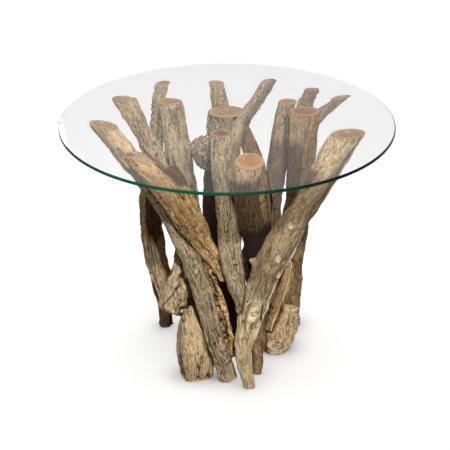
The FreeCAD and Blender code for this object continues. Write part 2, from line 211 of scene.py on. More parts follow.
def weathering():
    """The tree that wears a limb, from broad lumps and dents down to worm pits, bark and splinters."""
    tree = bpy.data.node_groups.new("weathering", "GeometryNodeTree")
    tree.interface.new_socket("Geometry", in_out="OUTPUT", socket_type="NodeSocketGeometry")
    tree.interface.new_socket("Geometry", in_out="INPUT", socket_type="NodeSocketGeometry")
    depths = ("Lump", "Dent", "Flute", "Furrow", "Crack", "Pit", "Bark", "Splinter")
    kinds = dict.fromkeys(depths + ("Cut level",), "NodeSocketFloat")
    kinds.update({"Cut normal": "NodeSocketVector", "Wood": "NodeSocketMaterial"})
    sockets = {}
    for size, kind in kinds.items():
        sockets[size] = tree.interface.new_socket(size, in_out="INPUT", socket_type=kind).identifier
    given = add(tree, "NodeGroupInput").outputs
    stored = {}
    for key, kind in (("grain", "FLOAT_VECTOR"), ("sawn", "FLOAT"), ("bark", "FLOAT")):
        stored[key] = add(tree, "GeometryNodeInputNamedAttribute", {"Name": key}, data_type=kind)
    patterns = {
        "Lump": (0.45, 42, 2),
        "Dent": (0.5, 13, 2),
        "Flute": (0.08, 17, 1),
        "Splinter": (0.10, 5, 2),
        "Wear": (0.30, 30, 2),
        "Furrow": (0.06, 8, 2),
        "Crack": (0.05, 15, 1),
    }
    field = {}
    for key, (stretch, size, detail) in patterns.items():
        drawn = {0: stored["grain"], 1: (1, 1, stretch)}
        drawn = add(tree, "ShaderNodeVectorMath", drawn, operation="MULTIPLY")
        sizes = {"Vector": drawn, "Scale": 1 / (size * mm), "Detail": detail}
        field[key] = add(tree, "ShaderNodeTexNoise", sizes).outputs[0]
    for key in ("Furrow", "Crack"):
        field[key] = add(tree, "ShaderNodeMath", {0: field[key], 1: 0.5}, operation="PINGPONG")
    holes = {"Vector": stored["grain"], "Scale": 1 / (13 * mm)}
    holes = add(tree, "ShaderNodeTexVoronoi", holes).outputs
    plates = {"Vector": stored["grain"], "Scale": 1 / (6.5 * mm)}
    plates = add(tree, "ShaderNodeTexVoronoi", plates, feature="DISTANCE_TO_EDGE").outputs["Distance"]
    spans = {
        "Lump": (field["Lump"], 0.3, 0.7, -1, 1),
        "Dent": (field["Dent"], 0.3, 0.7, -1, 1),
        "Flute": (field["Flute"], 0.3, 0.7, -1, 1),
        "Splinter": (field["Splinter"], 0.35, 0.65, -1, 1),
        "Wear": (field["Wear"], 0.4, 0.62, 0, 1),
        "Furrow": (field["Furrow"], 0.42, 0.5, 0, -1),
        "Crack": (field["Crack"], 0.465, 0.5, 0, -1),
        "Pit": (holes["Distance"], 0.24, 0.1, 0, -1),
        "Chosen": (holes["Color"], 0.62, 0.66, 0, 1),
        "Bark": (plates, 0.0, 0.3, -1, 0.6),
    }
    for key, (pattern, start, stop, low, high) in spans.items():
        span = {"Value": pattern, "From Min": start, "From Max": stop, "To Min": low, "To Max": high}
        field[key] = add(tree, "ShaderNodeMapRange", span, interpolation_type="SMOOTHSTEP")
    for key, limited_to in (("Crack", field["Wear"]), ("Pit", field["Chosen"]), ("Bark", stored["bark"])):
        field[key] = add(tree, "ShaderNodeMath", {0: field[key], 1: limited_to}, operation="MULTIPLY")
    raised = 0.0
    for key in depths:
        sizes = {0: field[key], 1: given[key], 2: raised}
        raised = add(tree, "ShaderNodeMath", sizes, operation="MULTIPLY_ADD")
    kept = add(tree, "ShaderNodeMath", {0: 1.0, 1: stored["sawn"]}, operation="SUBTRACT")
    raised = add(tree, "ShaderNodeMath", {0: raised, 1: kept}, operation="MULTIPLY")
    normal = add(tree, "GeometryNodeInputNormal").outputs[0]
    shift = add(tree, "ShaderNodeVectorMath", {0: normal, "Scale": raised}, operation="SCALE")
    shaped = add(tree, "GeometryNodeSetPosition", {"Geometry": given["Geometry"], "Offset": shift})

    # Nothing stands above the saw cut or below the floor.
    place = add(tree, "GeometryNodeInputPosition")
    level = add(tree, "ShaderNodeVectorMath", {0: place, 1: given["Cut normal"]}, operation="DOT_PRODUCT")
    over = {0: given["Cut level"], 1: level.outputs["Value"]}
    over = add(tree, "ShaderNodeMath", over, operation="SUBTRACT")
    over = add(tree, "ShaderNodeMath", {0: over, 1: 0.0}, operation="MINIMUM")
    back = add(tree, "ShaderNodeVectorMath", {0: given["Cut normal"], "Scale": over}, operation="SCALE")
    shaped = add(tree, "GeometryNodeSetPosition", {"Geometry": shaped, "Offset": back})
    stands = add(tree, "ShaderNodeVectorMath", {0: place, 1: (-9, -9, 0)}, operation="MAXIMUM")
    shaped = add(tree, "GeometryNodeSetPosition", {"Geometry": shaped, "Position": stands})

    # Furrows, cracks and pits are marked to be painted dark with shade.
    hollows = {"Furrow": -0.45, "Crack": -0.9, "Pit": -0.9}
    crevice_shade = 0.0
    for key, darkness in hollows.items():
        dark = add(tree, "ShaderNodeMath", {0: field[key], 1: darkness}, operation="MULTIPLY")
        crevice_shade = add(tree, "ShaderNodeMath", {0: crevice_shade, 1: dark}, operation="MAXIMUM")
    crevice_shade = add(tree, "ShaderNodeMath", {0: crevice_shade, 1: kept}, operation="MULTIPLY")
    # Raised wood is marked to be painted pale, partly as wear and partly as a painted highlight.
    proud = {0: field["Flute"], 1: 0.6, 2: field["Lump"]}
    proud = add(tree, "ShaderNodeMath", proud, operation="MULTIPLY_ADD")
    for key, value in (("crevice_shade", crevice_shade), ("proud", proud)):
        named = {"Geometry": shaped, "Name": key, "Value": value}
        shaped = add(tree, "GeometryNodeStoreNamedAttribute", named, data_type="FLOAT", domain="POINT")
    whole = add(tree, "GeometryNodeRealizeInstances", {"Geometry": shaped})
    dressed = add(tree, "GeometryNodeSetMaterial", {"Geometry": whole, "Material": given["Wood"]})
    add(tree, "NodeGroupOutput", {"Geometry": dressed})
    return tree, sockets


weathering_tree, weathering_sockets = weathering()


def plain_mesh(thing):
    """An object's mesh with its modifiers worked in and taken off."""
    made = bpy.data.meshes.new_from_object(thing.evaluated_get(bpy.context.evaluated_depsgraph_get()))
    thing.modifiers.clear()
    thing.data = made
    return made


def block_out(name, step):
    """A closed, evenly meshed copy of a wooden solid."""
    solid = frame["nodes"][name].data.copy()
    welded = bmesh.new()
    welded.from_mesh(solid)
    bmesh.ops.remove_doubles(welded, verts=welded.verts, dist=0.01 * mm)
    welded.to_mesh(solid)
    welded.free()
    piece = bpy.data.objects.new(name + "_wood", solid)
    bpy.context.scene.collection.objects.link(piece)
    even = piece.modifiers.new("even mesh", "REMESH")
    even.mode = "VOXEL"
    even.voxel_size = step
    even.use_smooth_shade = True
    eased = piece.modifiers.new("eased", "SMOOTH")
    eased.iterations = 2
    plain_mesh(piece)
    return piece


def mesh_points(mesh):
    points = np.empty(len(mesh.vertices) * 3)
    mesh.vertices.foreach_get("co", points)
    return points.reshape(-1, 3)


def mark_wood(mesh, grain, marks):
    """Keep where each point lies in the wood, and the marks that the wood's material reads."""
    for key, field in marks.items():
        mesh.attributes.new(key, "FLOAT", "POINT").data.foreach_set("value", field.astype(np.float32))
    vectors = mesh.attributes.new("grain", "FLOAT_VECTOR", "POINT").data
    vectors.foreach_set("vector", grain.astype(np.float32).ravel())
    mesh.update()


def straightened(points):
    """Where each point lies in its limb: across, across and along the grain, with the two directions."""
    bends = 5
    heights = np.linspace(points[:, 2].min(), points[:, 2].max(), 200)
    line = [np.polynomial.Polynomial.fit(points[:, 2], points[:, axis], bends) for axis in (0, 1)]
    slope = [part.deriv() for part in line]
    middles = np.column_stack([line[0](heights), line[1](heights), heights])
    lengths = np.concatenate([[0], np.cumsum(np.linalg.norm(np.diff(middles, axis=0), axis=1))])
    foot = points[:, 2].copy()
    for _ in range(4):
        middle = np.column_stack([line[0](foot), line[1](foot), foot])
        along = np.column_stack([slope[0](foot), slope[1](foot), np.ones_like(foot)])
        along /= np.linalg.norm(along, axis=1, keepdims=True)
        offset = points - middle
        slip = np.sum(offset * along, axis=1)
        foot = np.clip(foot + slip * along[:, 2], heights[0], heights[-1])
    right = np.array([1.0, 0, 0]) - along * along[:, :1]
    right /= np.linalg.norm(right, axis=1, keepdims=True)
    rear = np.cross(along, right)
    across = np.sum(offset * right, axis=1)
    deep = np.sum(offset * rear, axis=1)
    return np.column_stack([across, deep, np.interp(foot, heights, lengths) + slip]), right, rear


def eased_band(values, low, high, soft):
    """1 between two limits, falling to 0 over a soft margin outside them."""
    rise = np.clip((values - low) / soft + 1, 0, 1)
    fall = np.clip((high - values) / soft + 1, 0, 1)
    return rise * rise * (3 - 2 * rise) * fall * fall * (3 - 2 * fall)


limb_names = [
    part["node"] for part in frame["record"]["subparts"] if part["material_slot"] == "driftwood"
]
joint_gap = 10 * mm


def closeness(name, points):
    """How close each point is to another limb: 1 where they touch, 0 from a joint's gap away."""
    others = bmesh.new()
    for other in limb_names:
        if other != name:
            others.from_mesh(frame["nodes"][other].data)
    solids = BVHTree.FromBMesh(others)
    others.free()
    gaps = [solids.find_nearest(point, joint_gap)[3] for point in points]
    return np.array([0.0 if gap is None else 1 - gap / joint_gap for gap in gaps])


def limb(name, wood, lump=2.0, dent=1.0, flute=1.0, furrow=0.8, crack=2.2, pit=1.2, splinter=0.0,
         ruddy_and_lit=0.3, joint_dirt_and_shade=0.95, cut=up,
         flats=(), knots=(), spurs=(), crests=(), barks=(), stains_and_shade=(), peels_and_light=()):
    """One weathered limb over its solid.  Sizes are in mm, and a facing is an angle round the limb.

    A facing of 0 is to the right, -90 to the front.  Each flat is (low, high, facing, depth, bareness),
    each knot (height, facing, size), each spur or hole (height, facing, size, reach), each crest or
    crease (low, high, facing low, facing high, width, rise), and each patch (low, high, facing, spread,
    share) of bark, of stain, of painted shade, of peeled wood or of painted light.  Spurs and crests are
    painted pale, as wear and as painted highlight, and holes and creases dark with painted shade.
    Ruddy is the red of the sawn ends, past 1 a bright orange painted as light on an end that catches
    the lamp, and dirt the darkness where another limb touches, partly dirt and partly painted shade.
    """
    saw_depth = 1.3 * mm
    floor_depth = 0.4 * mm
    flat_margin, crest_margin, patch_margin, turn_margin = 14, 16, 40, 18
    piece = block_out(name, mesh_step)
    mesh = piece.data
    points = mesh_points(mesh)
    count = len(points)
    grain, right, rear = straightened(points)
    height = points[:, 2] / mm
    angle = np.degrees(np.arctan2(grain[:, 1], grain[:, 0]))
    radius = np.hypot(grain[:, 0], grain[:, 1])
    cut_level = float((points @ np.array(cut)).max())
    below_cut = cut_level - points @ np.array(cut)
    on_top = below_cut < saw_depth
    points[on_top] += np.outer(below_cut[on_top], cut)
    sawn = (on_top | (points[:, 2] < floor_depth)).astype(float)
    normals = np.empty(count * 3)
    mesh.vertex_normals.foreach_get("vector", normals)
    normals = normals.reshape(-1, 3)
    bare, knot_dark, wear_and_highlight, bark, stain_and_shade = [np.zeros(count) for _ in range(5)]

    for low, high, facing, depth, bareness_and_light in flats:
        toward = np.radians(facing)
        direction = right * np.cos(toward) + rear * np.sin(toward)
        proud = grain[:, 0] * np.cos(toward) + grain[:, 1] * np.sin(toward)
        steps = np.linspace(height.min(), height.max(), 40)
        slots = np.clip(np.digitize(height, steps) - 1, 0, len(steps) - 2)
        reach = np.zeros(len(steps) - 1)
        np.maximum.at(reach, slots, proud)
        limit = np.interp(height, (steps[1:] + steps[:-1]) / 2, reach) - depth * mm
        within = eased_band(height, low, high, flat_margin)
        over = np.maximum(proud - limit, 0) * within
        points -= direction * over[:, None]
        bare = np.maximum(bare, bareness_and_light * within * np.clip(over / (0.5 * mm), 0, 1))

    for knot_height, facing, size in knots:
        turn = (angle - facing + 180) % 360 - 180
        centre = np.argmin(np.abs(height - knot_height) + np.abs(turn) * 0.5)
        offset = points - points[centre]
        away = np.sqrt(np.sum(offset ** 2, axis=1) - 0.55 * offset[:, 2] ** 2) / (size * mm)
        swell = 0.34 * np.exp(-away ** 2) - 0.5 * np.exp(-(away / 0.42) ** 2)
        points += normals * (swell * size * mm)[:, None]
        knot_dark = np.maximum(knot_dark, 0.75 * np.exp(-(away / 0.55) ** 2))
        squeeze = -0.8 * radius * np.radians(turn) * np.exp(-(away / 1.6) ** 2)
        grain[:, 0] -= np.sin(np.radians(angle)) * squeeze
        grain[:, 1] += np.cos(np.radians(angle)) * squeeze

    for spur_height, facing, size, reach in spurs:
        turn = np.abs((angle - facing + 180) % 360 - 180)
        centre = np.argmin(np.abs(height - spur_height) + turn * 0.5)
        away = np.linalg.norm(points - points[centre], axis=1) / (size * mm)
        points += normals[centre] * (reach * mm * np.exp(-away ** 2))[:, None]
        # Spurs are painted pale, as wear and as a painted highlight; holes are painted dark with shade.
        shade, share = (stain_and_shade, 1.0) if reach < 0 else (wear_and_highlight, 0.45)
        np.maximum(shade, share * np.exp(-(away / 0.75) ** 2), out=shade)

    for low, high, facing_low, facing_high, width, rise in crests:
        here = np.interp(height, (low, high), (facing_low, facing_high))
        sideways = radius * np.radians((angle - here + 180) % 360 - 180) / (width * mm)
        crest = eased_band(height, low, high, crest_margin) * np.exp(-sideways ** 2)
        points += normals * (rise * mm * crest)[:, None]
        # Crests are painted pale, as wear and as a painted highlight; creases are painted dark with
        # shade.
        shade = stain_and_shade if rise < 0 else wear_and_highlight
        np.maximum(shade, crest ** 2, out=shade)

    for field, patches in ((bark, barks), (stain_and_shade, stains_and_shade), (bare, peels_and_light)):
        for low, high, facing, spread, share in patches:
            turn = np.abs((angle - facing + 180) % 360 - 180)
            soft = min(patch_margin, (high - low) / 2)
            patch = eased_band(height, low, high, soft) * eased_band(turn, -1, spread, turn_margin)
            np.maximum(field, share * patch, out=field)
    bark *= 1 - bare
    # Where another limb comes near, the wood is painted dark, partly as dirt and partly as painted shade.
    np.maximum(stain_and_shade, joint_dirt_and_shade * closeness(name, points) ** 1.5, out=stain_and_shade)

    core = np.zeros(count)
    on_end = sawn > 0.5
    sector = 10
    sectors = 360 // sector
    if on_end.any():
        turns = ((angle + 180) / sector).astype(int) % sectors
        edge = np.full(sectors, 1e-6)
        np.maximum.at(edge, turns[on_end], radius[on_end])
        core = np.clip(radius / edge[turns], 0, 1)

    seed_step = 1.7
    grain[:, 2] += next(limb_seeds) * seed_step
    mesh.vertices.foreach_set("co", points.ravel())
    mark_wood(mesh, grain, {
        "sawn": sawn, "core": core, "ruddy_and_lit": np.full(count, ruddy_and_lit), "bare": bare, "bark": bark,
        "knot": knot_dark, "wear_and_highlight": wear_and_highlight, "stain_and_shade": stain_and_shade,
    })

    worked = piece.modifiers.new("weathering", "NODES")
    worked.node_group = weathering_tree
    bark_height = 1.6
    depths = {"Lump": lump, "Dent": dent, "Flute": flute, "Furrow": furrow, "Crack": crack,
              "Pit": pit, "Bark": bark_height, "Splinter": splinter}
    for depth, value in depths.items():
        worked[weathering_sockets[depth]] = value * mm
    worked[weathering_sockets["Cut level"]] = cut_level
    worked[weathering_sockets["Cut normal"]] = cut
    worked[weathering_sockets["Wood"]] = wood
    plain_mesh(piece)
    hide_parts(name)
    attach(piece, "base")
    return piece


# Sun and salt turn most limbs grey; wood that lost its bark later is tan, and damp wood is brown.
grey_driftwood = driftwood("grey driftwood", "#cfbc99", "#a68f6b", "#917c5e", "#4d3926")
tan_driftwood = driftwood("tan driftwood", "#ead1a2", "#bb9b6a", "#a5875f", "#50361d")
brown_driftwood = driftwood("brown driftwood", "#c0a173", "#8f6f48", "#775a3a", "#332011")

# Its creases near the foot are painted dark with shade.
limb("left_leaning_limb", grey_driftwood, lump=2.5, furrow=0.6, ruddy_and_lit=0.2,
     flats=[(392, 480, -47, 8, 0.9), (0, 34, -35, 9, 0.5)], knots=[(237, -66, 6), (90, -62, 8)],
     crests=[(84, 100, -100, -45, 1.8, -2.0), (42, 54, -95, -30, 1.8, -2.0),
             (20, 30, -110, -50, 1.8, -2.0)])


# The branch in front of the log: a tapering wedge of heartwood, torn to a point at its lower end.
# A side shoot snapped off near its top and left a dark stub, and the flank above it is peeled bare.
# Dowels tie it to the log and to the straight limb in front of the trunk.

# Heartwood that has weathered less is a warm yellow-brown.
warm_driftwood = driftwood("warm driftwood", "#f4d195", "#cd9f63", "#ad8452", "#412812")
limb("forked_branch", warm_driftwood, lump=3, flute=1.8, furrow=1.2, crack=3.2, ruddy_and_lit=0.9,
     flats=[(450, 472, -7, 5, 1.0)], knots=[(300, -25, 8)],
     stains_and_shade=[(412, 444, -5, 30, 0.8), (405, 480, 0, 180, 0.35)])


# The crooked branch at the left rear, grey driftwood that swings forward and ends in a gnarled knuckle.
# The left foot stands under the knuckle.  Dowels tie the branch to that foot and to two posts beside it.
# Its knuckle's lumps are painted pale as wear and highlight, and its creases and hole dark with shade.
limb("crooked_branch", grey_driftwood, lump=3.2, dent=2.0, flute=1.4, furrow=0.8,
     peels_and_light=[(95, 205, 0, 180, 0.6)],
     spurs=[(188, -100, 14, 5), (140, -150, 12, 6), (160, -60, 10, 4), (200, -70, 4, -4),
            (135, -95, 9, 5)],
     crests=[(128, 186, -160, -70, 1.5, -3), (150, 192, -50, -105, 1.4, -3),
             (118, 148, -120, -50, 1.4, -3)])


# The thin slab at the left rear, a board-like piece of outer wood that split off a larger trunk.
# Its left edge is ragged and keeps scraps of bark.  Two dowels tie it to the left post.
# The front of its lower part is painted dark with shade.
limb("rear_left_slab", grey_driftwood, lump=3, flute=2, furrow=1.0, barks=[(300, 460, 170, 50, 1.0)],
     stains_and_shade=[(0, 230, -80, 80, 0.75)])


# The flat post between the left limbs and the trunk: peeled driftwood that bends back at the top.
# It stands on the floor, sawn level at both ends, with a dark stain below the upper one.
# Dowels tie it to the trunk and to the crooked branch.
# The front of its lower part is painted dark with shade.
limb("left_inner_post", grey_driftwood, lump=2.5, furrow=0.9, knots=[(400, -30, 7)],
     stains_and_shade=[(440, 462, -80, 20, 0.6), (0, 260, -80, 85, 0.8)])


# The upright branch at the rear, a round limb that stands behind the trunk and bends back at the top.
# It has the hollow of a lost side shoot on its left, and a dowel ties it to the slim branch beside it.
# Its hollow and the wood round it are painted dark with shade.
limb("rear_upright_branch", grey_driftwood, lump=2.5, furrow=0.9,
     spurs=[(430, -150, 7, 5), (418, -120, 5, -5)], stains_and_shade=[(405, 432, -120, 40, 0.7)])


# The long limb that comes out from behind the trunk and crosses the base to a thin foot in front.
# It is dark brown driftwood, dowelled to the stout front limb, to a post and to a rear branch.
# The front of its middle is painted near black with shade.
limb("long_cross_limb", brown_driftwood, lump=2.5, furrow=0.9,
     stains_and_shade=[(125, 245, -90, 80, 1.0), (245, 480, 0, 180, 0.3)])


# The trunk in the middle, the thickest piece, which stands on the floor and is sawn level on top.
# A burl on its left still has its bark, with pale scales.
# Dowels tie it to the slim rear branch and to the flat left post.
# The front of its lower part is painted near black with shade.
limb("centre_trunk", grey_driftwood, lump=2.5, furrow=0.9, ruddy_and_lit=0.0, barks=[(368, 440, -140, 48, 1.0)],
     stains_and_shade=[(0, 355, -90, 80, 1.0), (0, 480, 0, 180, 0.2), (450, 470, -60, 30, 0.4)])


# The straight limb in front of the trunk, a peeled branch with two small knots.
# Its lower tip is worn round, clear of the floor, and dowelled to the shoulder of the front trunk.
limb("centre_front_limb", grey_driftwood, furrow=0.7, ruddy_and_lit=1.0, knots=[(249, -71, 5), (225, -84, 6.5)])


# The stout limb that leans out to the front, brown driftwood dowelled to the front trunk.
# It was cut square, so its round end faces the viewer, with a pale collar where the bark came off.
cut_tilt = math.radians(19)
# Its end is painted a bright orange as light, and its lower part is painted dark with shade, near black
# in front.
limb("front_angled_limb", brown_driftwood, furrow=0.8, ruddy_and_lit=1.55,
     cut=(0.0, -math.sin(cut_tilt), math.cos(cut_tilt)), flats=[(436, 452, -112, 1.0, 1.0)],
     spurs=[(205, 180, 20, 9), (242, 180, 18, 9), (312, 180, 16, 8)], peels_and_light=[(432, 458, 0, 180, 0.8)],
     stains_and_shade=[(0, 300, -90, 95, 0.95), (0, 420, 0, 180, 0.5)])


# The slim branch at the rear that leans out to the right, with bark along its front.
# It is dowelled to the trunk and sawn level under the glass.
limb("rear_centre_branch", grey_driftwood, furrow=0.8, barks=[(380, 475, -45, 55, 1.0)],
     stains_and_shade=[(380, 470, -35, 40, 0.55)])


# The round post between the trunk and the right post, peeled smooth by the water.
# It stands upright on the floor and is sawn level at both ends.
# Its lower part is painted darker with shade.
limb("right_inner_post", grey_driftwood, furrow=0.7, stains_and_shade=[(0, 385, 0, 180, 0.6)])


# The broad post at the right, brown and deeply furrowed, which narrows to a foot set further back.
# The inner post, rear branch, prop and brace are dowelled to it.
# A band on its front left is painted dark with shade.
limb("right_post", brown_driftwood, lump=2.5, flute=2.0, furrow=1.4, crack=3.0, ruddy_and_lit=0.8,
     stains_and_shade=[(230, 400, -135, 40, 0.6)])


# The rough branch behind the right post, a crooked limb with bark on its upper end.
# Two dowels tie it to the post, and it is sawn level under the glass.
limb("rear_right_branch", grey_driftwood, lump=3, furrow=0.9, barks=[(380, 475, -90, 150, 1.0)],
     spurs=[(440, -30, 9, 5), (448, -160, 8, 4)], stains_and_shade=[(300, 480, 0, 180, 0.45)])


# The short prop that leans out from behind the right post, a peeled branch with an oval sawn end.
# Its lower end is coped to the post and held by a dowel.
limb("right_prop", grey_driftwood, furrow=0.7, stains_and_shade=[(300, 480, 0, 180, 0.45)])


# The heavy trunk at the right, which runs from the edge of the glass to a thin foot in front.
# It is pale and worn, pitted by worms, with knots, a thorn on its left and a ridge on its right.
# The ridge and thorn are worn pale and painted with highlights, and the worm holes are painted dark with
# shade.

# The most bleached of the limbs is a pale straw colour, with brown grain.
pale_driftwood = driftwood("pale driftwood", "#eedbb5", "#c4a87b", "#ad9168", "#50361d")
limb("front_right_trunk", pale_driftwood, lump=3, flute=1.4, furrow=0.8, pit=2.0, ruddy_and_lit=0.4,
     knots=[(320, -100, 6), (262, -81, 6), (228, -45, 7), (157, -94, 12)],
     spurs=[(300, -52, 3, -5), (286, -56, 3, -5), (308, -36, 4, -6), (255, -53, 4, -6), (243, 178, 5, 9)],
     crests=[(112, 165, -48, -32, 2.5, 3), (165, 300, -32, -22, 2.5, 3)],
     peels_and_light=[(0, 110, -100, 100, 0.6), (110, 370, 0, 180, 0.3)],
     stains_and_shade=[(200, 390, 0, 180, 0.5), (385, 408, -145, 25, 0.8)])


# The bowed post at the far left, warm brown driftwood with deep furrows, which stands behind the log.
# The crooked branch and the rear slab are dowelled to it.
# Its upper front right is painted dark as the long log's shadow, and its lower front left pale as light.
limb("left_post", warm_driftwood, lump=3, flute=2.5, furrow=2.2, crack=4, joint_dirt_and_shade=0.6,
     peels_and_light=[(0, 185, -135, 75, 0.85)], stains_and_shade=[(235, 470, -60, 55, 0.85)])


# The ridged block under the knuckle: a quarter split from a trunk, which serves as a front foot.
# Its split faces meet in a sharp ridge; the right one is painted paler as lit and the left darker as
# shaded.  Its base is sawn level.
limb("front_left_foot", tan_driftwood, lump=2, flute=1.4, furrow=0.6, crack=1.6,
     flats=[(0, 140, -160, 7, 0.0), (0, 140, -72, 7, 0.6)], spurs=[(60, 178, 35, 4)],
     stains_and_shade=[(0, 150, -160, 36, 0.2)])


# The rounded block at the right, a short log end that serves as a foot.
# Its front has flaked bare.  Dowels tie it to the inner post and to the brace.
# Its left side is painted dark as the heavy trunk's shadow.
limb("right_foot", tan_driftwood, lump=4, dent=2.0, flute=2.2, furrow=1.6, crack=3.0,
     peels_and_light=[(5, 115, -65, 75, 0.9)], stains_and_shade=[(0, 110, 180, 45, 0.8)])


# The slab that has split away from the long log and still hangs on it, dowelled in place.
# Its face is torn heartwood, more orange than the weathered wood, all splinters and clefts painted dark
# with shade.
split_heartwood = driftwood("split heartwood", "#f8d498", "#b98a50", "#8a6239", "#1c1006")
limb("split_slab", split_heartwood, lump=2, flute=3.0, furrow=4.0, crack=5, splinter=5.0, joint_dirt_and_shade=0.5,
     crests=[(85, 235, -95, -60, 1.6, -5), (120, 225, -55, -45, 1.4, -4), (95, 170, -120, -128, 1.4, -4)])


# The slim brace from the right foot up to the right post, a split strip of outer wood.
# Its front edge is worn pale and painted with a highlight, and its ends are dowelled.
limb("right_brace", warm_driftwood, lump=1, furrow=1.2, splinter=1.0,
     crests=[(60, 170, -50, -50, 1.5, 1.0)], stains_and_shade=[(0, 200, 0, 180, 0.5)])


# The peg in the front trunk's shoulder is a short beech rod, driven into a bored hole and pared round.
# Its end has weathered like the limbs.  Other rods, hidden in the wood, dowel each limb to the next.
peg = block_out("shoulder_peg", 0.6 * mm)
peg_points = mesh_points(peg.data)
peg_low, peg_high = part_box("shoulder_peg")
peg_grain = (peg_points - np.array((peg_low + peg_high) / 2))[:, [0, 2, 1]]
peg_radius = (peg_high.x - peg_low.x) / 2
peg_share = np.hypot(peg_grain[:, 0], peg_grain[:, 1]) / peg_radius
peg_front = (peg_points[:, 1] < peg_low.y + 0.5 * mm).astype(float)
peg_dome = 2.2 * mm
peg_points[:, 1] += peg_front * peg_dome * (peg_share ** 2 - 0.5)
peg.data.vertices.foreach_set("co", peg_points.ravel())
mark_wood(peg.data, peg_grain, {
    "sawn": peg_front, "core": np.clip(peg_share, 0, 1), "ruddy_and_lit": np.full(len(peg_points), 0.6),
    "knot": peg_share ** 8 * peg_front,
})
peg.data.materials.append(tan_driftwood)
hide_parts("shoulder_peg")
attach(peg, "base")

# Beech is an even, pinkish tan, flecked with short brown fibres.
beech = bpy.data.materials.new("beech rod")
beech.use_nodes = True
tree = beech.node_tree
tree.nodes.clear()
place = add(tree, "ShaderNodeTexCoord").outputs["Object"]
fibres = {"Vector": place, "Scale": 1 / (1.5 * mm), "Detail": 3.0, "Roughness": 0.6}
fibres = add(tree, "ShaderNodeTexNoise", fibres).outputs[0]
patches = add(tree, "ShaderNodeTexNoise", {"Vector": place, "Scale": 1 / (12 * mm)}).outputs[0]
rod = painted(tree, linear("#c99f6b"), [
    (fibres, 0.5, 0.7, 0.5, linear("#8f6238")),
    (patches, 0.45, 0.65, 0.4, linear("#dcbc8c")),
])
rod = add(tree, "ShaderNodeBsdfPrincipled", {"Base Color": rod, "Roughness": 0.6})
add(tree, "ShaderNodeOutputMaterial", {"Surface": rod})
for face_slot in frame["nodes"]["joint_dowels"].material_slots:
    face_slot.material = beech


# The pads on eight of the sawn tops: small discs of clear soft vinyl, so that the glass can't slide.
# They are nearly as clear as the glass above them, with dull scuffs.
vinyl = bpy.data.materials.new("clear soft vinyl")
vinyl.use_nodes = True
tree = vinyl.node_tree
tree.nodes.clear()
place = add(tree, "ShaderNodeTexCoord").outputs["Object"]
scuffs = {"Vector": place, "Scale": 1 / (2 * mm), "Detail": 3.0, "Roughness": 0.6}
scuffs = add(tree, "ShaderNodeTexNoise", scuffs).outputs[0]
scuffed = {"Value": scuffs, "From Min": 0.3, "From Max": 0.7, "To Min": 0.25, "To Max": 0.5}
scuffed = add(tree, "ShaderNodeMapRange", scuffed)
pad = {"Base Color": linear("#e3e2da"), "Roughness": scuffed, "IOR": 1.5, "Alpha": 0.22}
pad = add(tree, "ShaderNodeBsdfPrincipled", pad)
add(tree, "ShaderNodeOutputMaterial", {"Surface": pad})
for face_slot in frame["nodes"]["glass_bumpers"].material_slots:
    face_slot.material = vinyl


# The round top: a loose disc of clear float glass with a ground and polished edge.
# It lies on the pads by its own weight.  Seen through the edge, the iron in the glass shows green.
glass_low, glass_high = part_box("glass_top")
glass_radius = glass_high.x
edge_radius = 2 * mm
round_steps, edge_steps = 240, 6


def glass_disc():
    """The disc as rings of points from its upper face round the edge to its lower face."""
    corner = glass_radius - edge_radius
    profile = []
    for quarter, level in ((0, glass_high.z - edge_radius), (1, glass_low.z + edge_radius)):
        for step in range(edge_steps + 1):
            turn = math.pi / 2 * (1 - quarter - step / edge_steps)
            profile.append((corner + edge_radius * math.cos(turn), level + edge_radius * math.sin(turn)))
    turns = [2 * math.pi * step / round_steps for step in range(round_steps)]
    disc = bmesh.new()
    rings = [[disc.verts.new((r * math.cos(t), r * math.sin(t), z)) for t in turns] for r, z in profile]
    for outer, inner in zip(rings, rings[1:]):
        for at in range(round_steps):
            after = (at + 1) % round_steps
            face = disc.faces.new((outer[at], inner[at], inner[after], outer[after]))
            face.material_index = 1
            face.smooth = True
    disc.faces.new(rings[0])
    disc.faces.new(rings[-1][::-1])
    bmesh.ops.recalc_face_normals(disc, faces=disc.faces)
    made = bpy.data.meshes.new("glass_disc")
    disc.to_mesh(made)
    disc.free()
    return made


# Float glass mirrors a little of the room on each face and passes the rest; lamps shine through it.
float_glass = bpy.data.materials.new("clear float glass")
float_glass.use_nodes = True
tree = float_glass.node_tree
tree.nodes.clear()
pane = {"Base Color": linear("#ffffff"), "Roughness": 0.0, "IOR": 1.45, "Transmission Weight": 1.0}
pane = add(tree, "ShaderNodeBsdfPrincipled", pane)
lamp_light = add(tree, "ShaderNodeBsdfTransparent", {"Color": linear("#cdcdcc")})
to_lamp = add(tree, "ShaderNodeLightPath").outputs["Is Shadow Ray"]
both_ways = add(tree, "ShaderNodeMixShader", {0: to_lamp, 1: pane, 2: lamp_light})
add(tree, "ShaderNodeOutputMaterial", {"Surface": both_ways})

